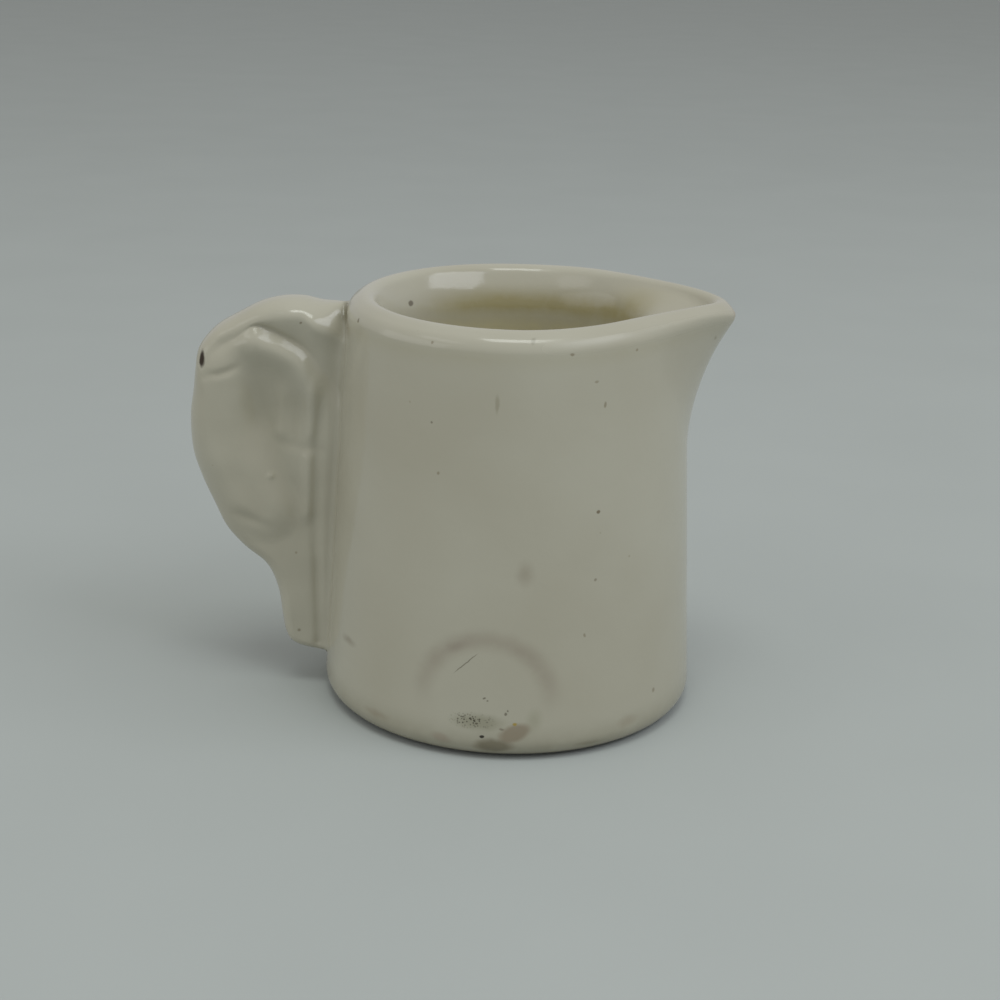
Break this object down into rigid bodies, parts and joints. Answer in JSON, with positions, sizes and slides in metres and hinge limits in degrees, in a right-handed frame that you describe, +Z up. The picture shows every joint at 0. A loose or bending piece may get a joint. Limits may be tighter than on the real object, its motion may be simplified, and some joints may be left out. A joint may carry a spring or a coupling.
{
  "type": "creamer",
  "caption": "Small tapered table jug in thick glazed china, wider at the base, with a round rim, a pouring lip and a blind scroll handle moulded without a finger hole.",
  "frame": {"origin": "middle of the flat underside, on the cup's axis", "axes": "+Z up along the cup's axis, +X towards the pouring lip, handle at -X"},
  "size_m": [0.0834, 0.0584, 0.064],
  "materials": {
    "glaze": "glossy cream-white glaze over thick vitrified china",
    "biscuit": "matt fired clay on the underside, with no glaze"
  },
  "bodies": {
    "root": {"body_wall": "glaze", "pouring_lip": "glaze", "base_bat": "biscuit", "handle_thumb_scroll": "glaze", "handle_root_strip": "glaze", "handle_tail": "glaze", "handle_grip_bulb": "glaze", "handle_web": "glaze", "handle_curl_front": "glaze", "handle_curl_back": "glaze"}
  },
  "joints": []
}
